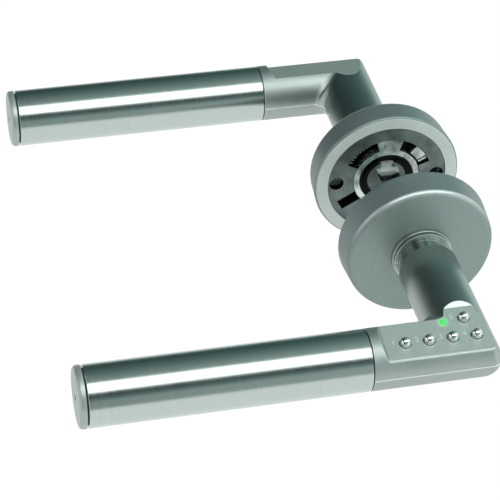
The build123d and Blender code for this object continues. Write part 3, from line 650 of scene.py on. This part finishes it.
# Ground steel of the spindle and the clutch plunger: bright, with lines round the bar.
BRIGHT = Brushed("ground_steel", "#CDD6D3", 0.14, across=Axis.Y, line=0.5, line_depth=0.0005, shade=0.02,
                 spread=0.02)
# Polished journals: strong dark and bright streaks along the bar, painted reflections in the colour.
JOURNAL = Brushed("journal_painted_streaks", "#A9B4B1", 0.14, line=3.0, line_depth=0.0, shade=0.75)
# Polished stainless buttons: small mirrors.
BUTTON = Blasted("polished_stainless_button", "#E2E8E6", 0.06, grain=0.6, grain_depth=0.0, spread=0.02)
# Zinc-plated pressed steel of the mounting plates: grey, with large light and dark patches of colour, partly
# plating cloudiness and partly a painted sheen.
PLATE = Turned("zinc_plated_steel", "#758280", 0.5, grain=0.8, grain_depth=0.01, mottle=6.0, shade=0.35)
# Zinc-plated followers and stop blocks: as the plates but brighter, with strong light and dark patches of
# colour that are painted highlights and painted shade.
FOLLOWER = Turned("zinc_steel_painted_patches", "#B4BFBC", 0.28, grain=0.8, grain_depth=0.02, mottle=4.0, shade=0.6)
# Walls of the plates' holes and windows: a dark colour, painted shade inside the holes.
PLATE_HOLE_SHADE = Blasted("painted_shade_hole_wall", "#2B3232", 0.5, grain=0.6, grain_depth=0.02)
# Polished spring steel of the spindle's clip and driver: small sharp lights.
CLIP = Blasted("polished_spring_steel", "#EEF3F1", 0.14, metallic=0.65, grain=0.6, grain_depth=0.004,
               mottle=2.0)
# Sawn ends of the hubs: grey, without the bright ground surface.
SAWN = Blasted("sawn_steel", "#6E7A78", 0.45, grain=0.6, grain_depth=0.02, mottle=2.0, shade=0.25)
# Drawn spring wire: bright thin lines of light.
WIRE = Blasted("spring_wire", "#AEB8B6", 0.25, grain=0.5, grain_depth=0.004)
# Zinc-plated screws and bearing bushes.
SCREW = Blasted("zinc_plated_screw", "#A7B2AF", 0.35, grain=0.5, grain_depth=0.01)
# Black oxide on the stop rings, circlips, hub washers and cap screws: nearly black, with a dull gleam.
OXIDE = Blasted("black_oxide_steel", "#1A1D1D", 0.4, grain=0.5, grain_depth=0.01)
# Painted shade in the groove and the hole of an end cap: dark and matt, without a gleam.
RECESS = Moulded("painted_recess_shade", "#485352", 0.9, specular=0.05)
# Glass-filled nylon of the battery sleeve and switches: matt black.
NYLON = Moulded("black_nylon", "#141616", 0.5)
# Green light under a clear lens.
LENS = Glowing("lit_green_lens", "#1E7A32", 0.35)
# Circuit board: green solder mask.
BOARD = Moulded("green_solder_mask", "#1E5A38", 0.35, grain=0.8, grain_depth=0.005)
# Shrink wrap of the cells.
WRAP = Moulded("cell_shrink_wrap", "#2F3A44", 0.3, grain=1.5, grain_depth=0.01)
# Brass contact disc.
BRASS = Blasted("contact_brass", "#C9A24E", 0.3)
# Printed numbers: a thin pale ink, hardly lighter than the casting.
INK = Moulded("pale_print", "#DCE4E1", 0.5)


def deselect() -> None:
    """Leaves nothing selected, since an operator acts on all that is."""
    if bpy.context.object and bpy.context.object.mode != "OBJECT":
        bpy.ops.object.mode_set(mode="OBJECT")
    bpy.ops.object.select_all(action="DESELECT")


def settle(piece: bpy.types.Object, place: Matrix) -> None:
    """Puts a new piece in its place and leaves its object at the origin.

    Args:
        piece: The piece, modelled about the origin.
        place: Where it goes.
    """
    deselect()
    piece.select_set(True)
    bpy.context.view_layer.objects.active = piece
    piece.matrix_world = place
    bpy.ops.object.transform_apply(location=True, rotation=True, scale=True)


def hand_over(piece: bpy.types.Object, finish: Finish, body: str) -> None:
    """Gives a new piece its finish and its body.

    Args:
        piece: The finished piece.
        finish: Its finish.
        body: The body that it moves with.
    """
    piece.data.materials.clear()
    piece.data.materials.append(finish.material())
    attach(piece, body)
    LOG.info("%s rides on %s with the finish %s", piece.name, body, finish.name)


@dataclass
class Handle:
    """What the rose and the lever of one handle share: the side that they are on."""

    side: Side

    def named(self, *pieces: str) -> list[str]:
        """Gives the nodes' names on this side.

        Args:
            pieces: Names without the side.

        Returns:
            The full names.
        """
        return [f"{self.side.value}_{piece}" for piece in pieces]


@dataclass
class Rose(Handle):
    """A rose: its cover, mounting plate, bush and the ring, lug and stop of its return mechanism.

    The rim's reach is its distance from the middle of the door. The spring's axis, its root by X and Z, and
    spring_left, a share of its length, are not used: the spring is not pressed.
    """

    rim_reach: float = 16.7 * MM
    spring_axis: tuple[float, float, float] = (0.809, 0.0, 0.588)
    spring_root: tuple[float, float] = (-14.59 * MM, 1.79 * MM)
    spring_left: float = 0.29
    weld: float = 0.001 * MM

    def is_rim(self, middle: Vector, normal: Vector) -> bool:
        """Tells whether a face of the cover lies on the door."""
        return abs(normal.y) > FACING and abs(middle.y) < self.rim_reach

    @staticmethod
    def is_punched(_middle: Vector, normal: Vector) -> bool:
        """Tells whether a face of the plate is the wall of a hole or of its rim."""
        return abs(normal.y) < BESIDE

    def dress(self) -> None:
        """Puts the finishes on the rose's nodes."""
        ROSE.dress(*self.named("rose_cover"))
        RIM.dress_faces(*self.named("rose_cover"), self.is_rim)
        PLATE.dress(*self.named("rose_plate"))
        # The walls of the plate's holes and windows get painted shade.
        PLATE_HOLE_SHADE.dress_faces(*self.named("rose_plate"), self.is_punched)
        SCREW.dress(*self.named("bearing_bush"))
        FOLLOWER.dress(*self.named("follower", "stop_block"))
        OXIDE.dress(*self.named("hub_washer", "hub_circlip", "stop_ring"))

    def wind_spring(self) -> bpy.types.Object:
        """Makes a smooth-shaded copy of the return spring, its points welded.

        Returns:
            The spring, in place of its node.
        """
        node = bpy.data.objects[self.named("return_spring")[0]]
        deselect()
        mesh = node.data.copy()
        piece = bpy.data.objects.new(f"{node.name}_wire", mesh)
        bpy.context.scene.collection.objects.link(piece)
        piece.select_set(True)
        bpy.context.view_layer.objects.active = piece
        bpy.ops.object.mode_set(mode="EDIT")
        bpy.ops.mesh.select_all(action="SELECT")
        bpy.ops.mesh.remove_doubles(threshold=self.weld)
        bpy.ops.object.mode_set(mode="OBJECT")
        bpy.ops.object.shade_smooth_by_angle(angle=SMOOTH_ANGLE)
        hand_over(piece, WIRE, "roses")
        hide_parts(node.name)
        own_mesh(piece)
        return piece


@dataclass
class Lever(Handle):
    """A lever: the neck's sleeve, the elbow's two castings, the grip and its end cap.

    The reaches are the hub's and the grip's distance from the middle of the door.
    """

    hub_reach: float = 18.0 * MM
    axis_reach: float = 79.7 * MM
    spigot_r: float = 9.5 * MM

    def is_hub_end(self, middle: Vector, normal: Vector) -> bool:
        """Tells whether a face of the neck's sleeve is at the hub's end."""
        return abs(normal.y) > FACING and abs(middle.y) < self.hub_reach

    def is_recess(self, middle: Vector, normal: Vector) -> bool:
        """Tells whether a face of the end cap is in its groove or its hole."""
        inside = math.hypot(abs(middle.y) - self.axis_reach, middle.z) < self.spigot_r
        return inside and abs(normal.x) < BESIDE

    def dress(self) -> None:
        """Puts the finishes on the lever's nodes."""
        CASTING.dress(*self.named("elbow_upper", "elbow_lower", "neck_ring"))
        JOURNAL.dress(*self.named("neck_sleeve"))
        SAWN.dress_faces(*self.named("neck_sleeve"), self.is_hub_end)
        GRIP.dress(*self.named("grip_tube"))
        CAP.dress(*self.named("end_cap"))
        # The end cap's groove and hole get painted shade.
        RECESS.dress_faces(*self.named("end_cap"), self.is_recess)
        SCREW.dress(*self.named("elbow_screws", "neck_screw", "cap_anchor"))
        OXIDE.dress(*self.named("cap_screw"))


@dataclass
class Drive:
    """The spindle with its driver and clip, the clutch, and the battery in the grip."""

    def dress(self) -> None:
        """Puts the finishes on the nodes."""
        BRIGHT.dress("spindle", "clutch_plunger")
        CLIP.dress("spindle_clip", "spindle_driver")
        OXIDE.dress("clutch_solenoid")
        WRAP.dress("battery_cells")
        NYLON.dress("battery_sleeve")
        BRASS.dress("battery_contact")


@dataclass
class Keypad:
    """The keypad on the outside elbow: its buttons, light, numbers and board.

    The lens stands proud of the flat. A number's shift and lift are its distance from its button.
    """

    normal: Vector
    buttons: int = 5
    lens_proud: float = 0.05 * MM
    light_r: float = 1.0 * MM
    light_rise: float = 0.45 * MM
    light_facets: tuple[int, int] = (48, 24)
    number_height: float = 3.0 * MM
    number_thickness: float = 0.02 * MM
    number_shift: float = -4.0 * MM
    number_lift: float = 0.8 * MM

    def level(self) -> float:
        """Gives the distance of the flat from the origin along its normal."""
        lens = bpy.data.objects["status_lens"].data
        return max(vertex.co.dot(self.normal) for vertex in lens.vertices) - self.lens_proud

    def place(self, node: str, right: float = 0.0, up: float = 0.0) -> Matrix:
        """Gives a place on the flat beside a node.

        Args:
            node: A button or the lens.
            right: Distance from it along the lever.
            up: Distance from it over the flat, towards the door.

        Returns:
            The place, with its Z out of the flat.
        """
        low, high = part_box(node)
        middle = (low + high) / 2
        across = Vector((1, 0, 0))
        over = self.normal.cross(across)
        spot = middle + self.normal * (self.level() - middle.dot(self.normal)) + across * right + over * up
        turn = Matrix((across, over, self.normal)).transposed().to_4x4()
        return Matrix.Translation(spot) @ turn

    def dress(self) -> None:
        """Puts the finishes on the keypad's nodes."""
        BUTTON.dress(*[f"button_{number}" for number in range(1, self.buttons + 1)])
        LENS.dress("status_lens")
        spot = tuple(self.place("status_lens").translation)
        # The keypad's casting carries the green glow painted round the lens.
        replace(CASTING, name="satin_nickel_keypad", spill_at=spot).dress("outer_elbow_upper")
        BOARD.dress("keypad_board")
        NYLON.dress("tact_switches")

    def make_light(self) -> bpy.types.Object:
        """Models the domed end of the light pipe.

        Returns:
            The light.
        """
        deselect()
        round_it, down_it = self.light_facets
        bpy.ops.mesh.primitive_uv_sphere_add(segments=round_it, ring_count=down_it, radius=self.light_r)
        piece = bpy.context.object
        piece.name = "status_light"
        bpy.ops.object.mode_set(mode="EDIT")
        bpy.ops.mesh.select_all(action="SELECT")
        bpy.ops.mesh.bisect(plane_co=(0, 0, 0), plane_no=(0, 0, 1), clear_inner=True, use_fill=True)
        # Fanned from its middle, the flat underside has the same triangles each run.
        bpy.ops.mesh.poke()
        bpy.ops.mesh.select_all(action="SELECT")
        bpy.ops.transform.resize(value=(1, 1, self.light_rise / self.light_r))
        bpy.ops.mesh.normals_make_consistent(inside=False)
        bpy.ops.object.mode_set(mode="OBJECT")
        bpy.ops.object.shade_smooth_by_angle(angle=SMOOTH_ANGLE)
        settle(piece, self.place("status_lens"))
        hand_over(piece, LENS, "outer_lever")
        return piece

    def make_number(self, number: int) -> bpy.types.Object:
        """Models a printed number beside its button.

        Args:
            number: The button's number.

        Returns:
            The number.
        """
        deselect()
        bpy.ops.object.text_add()
        piece = bpy.context.object
        piece.name = f"number_{number}"
        piece.data.body = str(number)
        piece.data.size = self.number_height
        piece.data.align_x = "CENTER"
        piece.data.align_y = "CENTER"
        piece.data.extrude = self.number_thickness
        bpy.ops.object.convert(target="MESH")
        piece = bpy.context.object
        settle(piece, self.place(f"button_{number}", self.number_shift, self.number_lift))
        hand_over(piece, INK, "outer_lever")
        return piece


@dataclass
class Studio:
    """The light: a soft box in front and above, a grey canopy, a white ground and a pale floor.

    The canopy's stops are its colours by their angle over the front. Where X is canopy_even they show as
    they are. To the right its light rises by the steeper slope, and to the left it falls by the other, down
    to the share that canopy_least says.
    """

    floor_level: float = -0.3
    floor_size: float = 12.0
    floor_glow: float = 0.85
    floor_white: float = 1.12
    floor_colour: str = "#EDEFEE"
    canopy_r: float = 1.75
    canopy_length: float = 4.5
    canopy_facets: int = 128
    canopy_slopes: tuple[float, float] = (0.5, 1.5)
    canopy_even: float = 0.34
    canopy_least: float = 0.35
    box_angle: float = 65.0
    box_distance: float = 1.6
    box_side: float = 0.3
    box_size: tuple[float, float] = (2.6, 0.95)
    box_power: float = 20.0
    ambient: float = 0.4
    stops: list[tuple[float, str]] = field(default_factory=lambda: [
        (-12.0, "#AAB8B5"), (18.0, "#A8B7B4"), (24.0, "#6B827F"), (29.0, "#64797B"),
        (35.5, "#1E2D2C"), (42.0, "#2C3F3D"), (80.0, "#9DAEAB"), (106.0, "#8B9E9B"), (118.0, "#758A88"),
        (138.0, "#5C7371"), (158.0, "#425957"), (172.0, "#546C6A"), (192.0, "#839996")])

    @staticmethod
    def seen(tree: Tree) -> Socket:
        """Adds what is 1 where the eye, a reflection or a clear body sees the ground.

        Args:
            tree: Tree that takes the nodes.

        Returns:
            The output that says so.
        """
        path = add_node(tree, "LightPath").outputs
        seen = path["Is Camera Ray"]
        for ray in ("Is Glossy Ray", "Is Transmission Ray"):
            seen = add_node(tree, "Math", {0: seen, 1: path[ray]}, operation="MAXIMUM").outputs[0]
        return seen

    def lay_floor(self) -> bpy.types.Object:
        """Lays the pale floor, which looks white and keeps the shadow.

        Returns:
            The floor.
        """
        deselect()
        bpy.ops.mesh.primitive_plane_add(size=self.floor_size, location=(0, 0, self.floor_level))
        floor = bpy.context.object
        floor.name = "floor"
        made = bpy.data.materials.new("pale_floor")
        made.use_nodes = True
        tree = made.node_tree
        tree.nodes.clear()
        matt = add_node(tree, "BsdfDiffuse", {"Color": linear(self.floor_colour)})
        white = add_node(tree, "Emission", {"Strength": self.floor_white})
        share = add_node(tree, "Math", {0: self.seen(tree), 1: self.floor_glow}, operation="MULTIPLY")
        both = add_node(tree, "MixShader", {0: share.outputs[0], 1: matt.outputs[0], 2: white.outputs[0]})
        add_node(tree, "OutputMaterial", {"Surface": both.outputs[0]})
        floor.data.materials.append(made)
        return floor

    def hang_canopy(self) -> bpy.types.Object:
        """Hangs the grey canopy over the object, which only reflections and shading see.

        Returns:
            The canopy.
        """
        deselect()
        bpy.ops.mesh.primitive_cylinder_add(
            vertices=self.canopy_facets, radius=self.canopy_r, depth=self.canopy_length,
            end_fill_type="NOTHING", rotation=(0, math.pi / 2, 0))
        canopy = bpy.context.object
        canopy.name = "canopy"
        bpy.ops.object.transform_apply(location=True, rotation=True, scale=True)
        bpy.ops.object.mode_set(mode="EDIT")
        bpy.ops.mesh.select_all(action="SELECT")
        bpy.ops.mesh.bisect(plane_co=(0, 0, self.floor_level), plane_no=(0, 0, 1), clear_inner=True)
        bpy.ops.object.mode_set(mode="OBJECT")
        made = bpy.data.materials.new("grey_canopy")
        made.use_nodes = True
        tree = made.node_tree
        tree.nodes.clear()
        place = add_node(tree, "SeparateXYZ", {0: add_node(tree, "TexCoord").outputs["Object"]}).outputs
        front = add_node(tree, "Math", {0: place["Y"], 1: -1.0}, operation="MULTIPLY")
        angle = add_node(tree, "Math", {0: place["Z"], 1: front.outputs[0]}, operation="ARCTAN2")
        first, last = self.stops[0][0], self.stops[-1][0]
        around = add_node(tree, "MapRange", {
            "Value": angle.outputs[0], "From Min": math.radians(first), "From Max": math.radians(last)})
        ramp = add_node(tree, "ValToRGB", {"Fac": around.outputs["Result"]})
        points = ramp.color_ramp.elements
        while len(points) < len(self.stops):
            points.new(0.5)
        for point, (degrees, colour) in zip(points, self.stops):
            point.position = (degrees - first) / (last - first)
            point.color = linear(colour)
        aside = add_node(tree, "Math", {0: place["X"], 1: self.canopy_even}, operation="SUBTRACT")
        level = self.canopy_least
        for slope in self.canopy_slopes:
            rise = add_node(tree, "Math", {0: aside.outputs[0], 1: slope, 2: 1.0}, operation="MULTIPLY_ADD")
            level = add_node(tree, "Math", {0: rise.outputs[0], 1: level}, operation="MAXIMUM").outputs[0]
        glow = add_node(tree, "Emission", {"Color": ramp.outputs["Color"], "Strength": level})
        add_node(tree, "OutputMaterial", {"Surface": glow.outputs[0]})
        canopy.data.materials.append(made)
        canopy.visible_camera = False
        canopy.visible_shadow = False
        return canopy

    def light(self) -> None:
        """Sets the soft box and the white ground."""
        lamp = bpy.data.lights.new("soft_box", "AREA")
        lamp.shape = "RECTANGLE"
        lamp.size, lamp.size_y = self.box_size
        lamp.energy = self.box_power
        held = bpy.data.objects.new("soft_box", lamp)
        bpy.context.scene.collection.objects.link(held)
        turn = math.radians(self.box_angle)
        away = Vector((0, -math.cos(turn), math.sin(turn)))
        held.location = away * self.box_distance + Vector((self.box_side, 0, 0))
        held.rotation_euler = away.to_track_quat("Z", "Y").to_euler()
        held.visible_camera = False
        world = bpy.data.worlds.new("white_ground")
        bpy.context.scene.world = world
        world.use_nodes = True
        tree = world.node_tree
        level = add_node(tree, "MapRange", {"Value": self.seen(tree), "To Min": self.ambient, "To Max": 1.0})
        back = tree.nodes["Background"]
        back.inputs["Color"].default_value = (1.0, 1.0, 1.0, 1.0)
        tree.links.new(level.outputs["Result"], back.inputs["Strength"])
        bpy.context.scene.view_settings.view_transform = "Standard"


@dataclass(frozen=True)
class Eye:
    """The camera, in front, above and to the left of the handles."""

    place: tuple[float, float, float] = (-0.200416, -0.582453, 0.461026)
    right: tuple[float, float, float] = (0.975061, -0.220064, 0.028777)
    up: tuple[float, float, float] = (0.114355, 0.609292, 0.784657)
    back: tuple[float, float, float] = (-0.190208, -0.761797, 0.619262)
    lens: float = 152.537
    sensor: float = 36.0

    def set_up(self) -> bpy.types.Object:
        """Makes the camera and takes it into use.

        Returns:
            The camera.
        """
        camera = bpy.data.cameras.new("eye")
        camera.lens = self.lens
        camera.sensor_width = self.sensor
        held = bpy.data.objects.new("eye", camera)
        bpy.context.scene.collection.objects.link(held)
        turn = Matrix((self.right, self.up, self.back)).transposed().to_4x4()
        held.matrix_world = Matrix.Translation(self.place) @ turn
        bpy.context.scene.camera = held
        return held


def main() -> None:
    """Loads the handles, dresses them, adds the thin pieces and lights them."""
    logging.basicConfig(level=logging.INFO, format="%(name)s: %(message)s")
    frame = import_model()
    Eye().set_up()
    studio = Studio()
    studio.lay_floor()
    studio.hang_canopy()
    studio.light()
    for side in Side:
        Lever(side).dress()
        rose = Rose(side)
        rose.dress()
        rose.wind_spring()
    Drive().dress()
    press = next(joint["axis"] for joint in frame["joints"] if joint["name"] == "button_1_press")
    keypad = Keypad(normal=-Vector(press).normalized())
    keypad.dress()
    keypad.make_light()
    for number in range(1, keypad.buttons + 1):
        keypad.make_number(number)


if __name__ == "__main__":
    main()
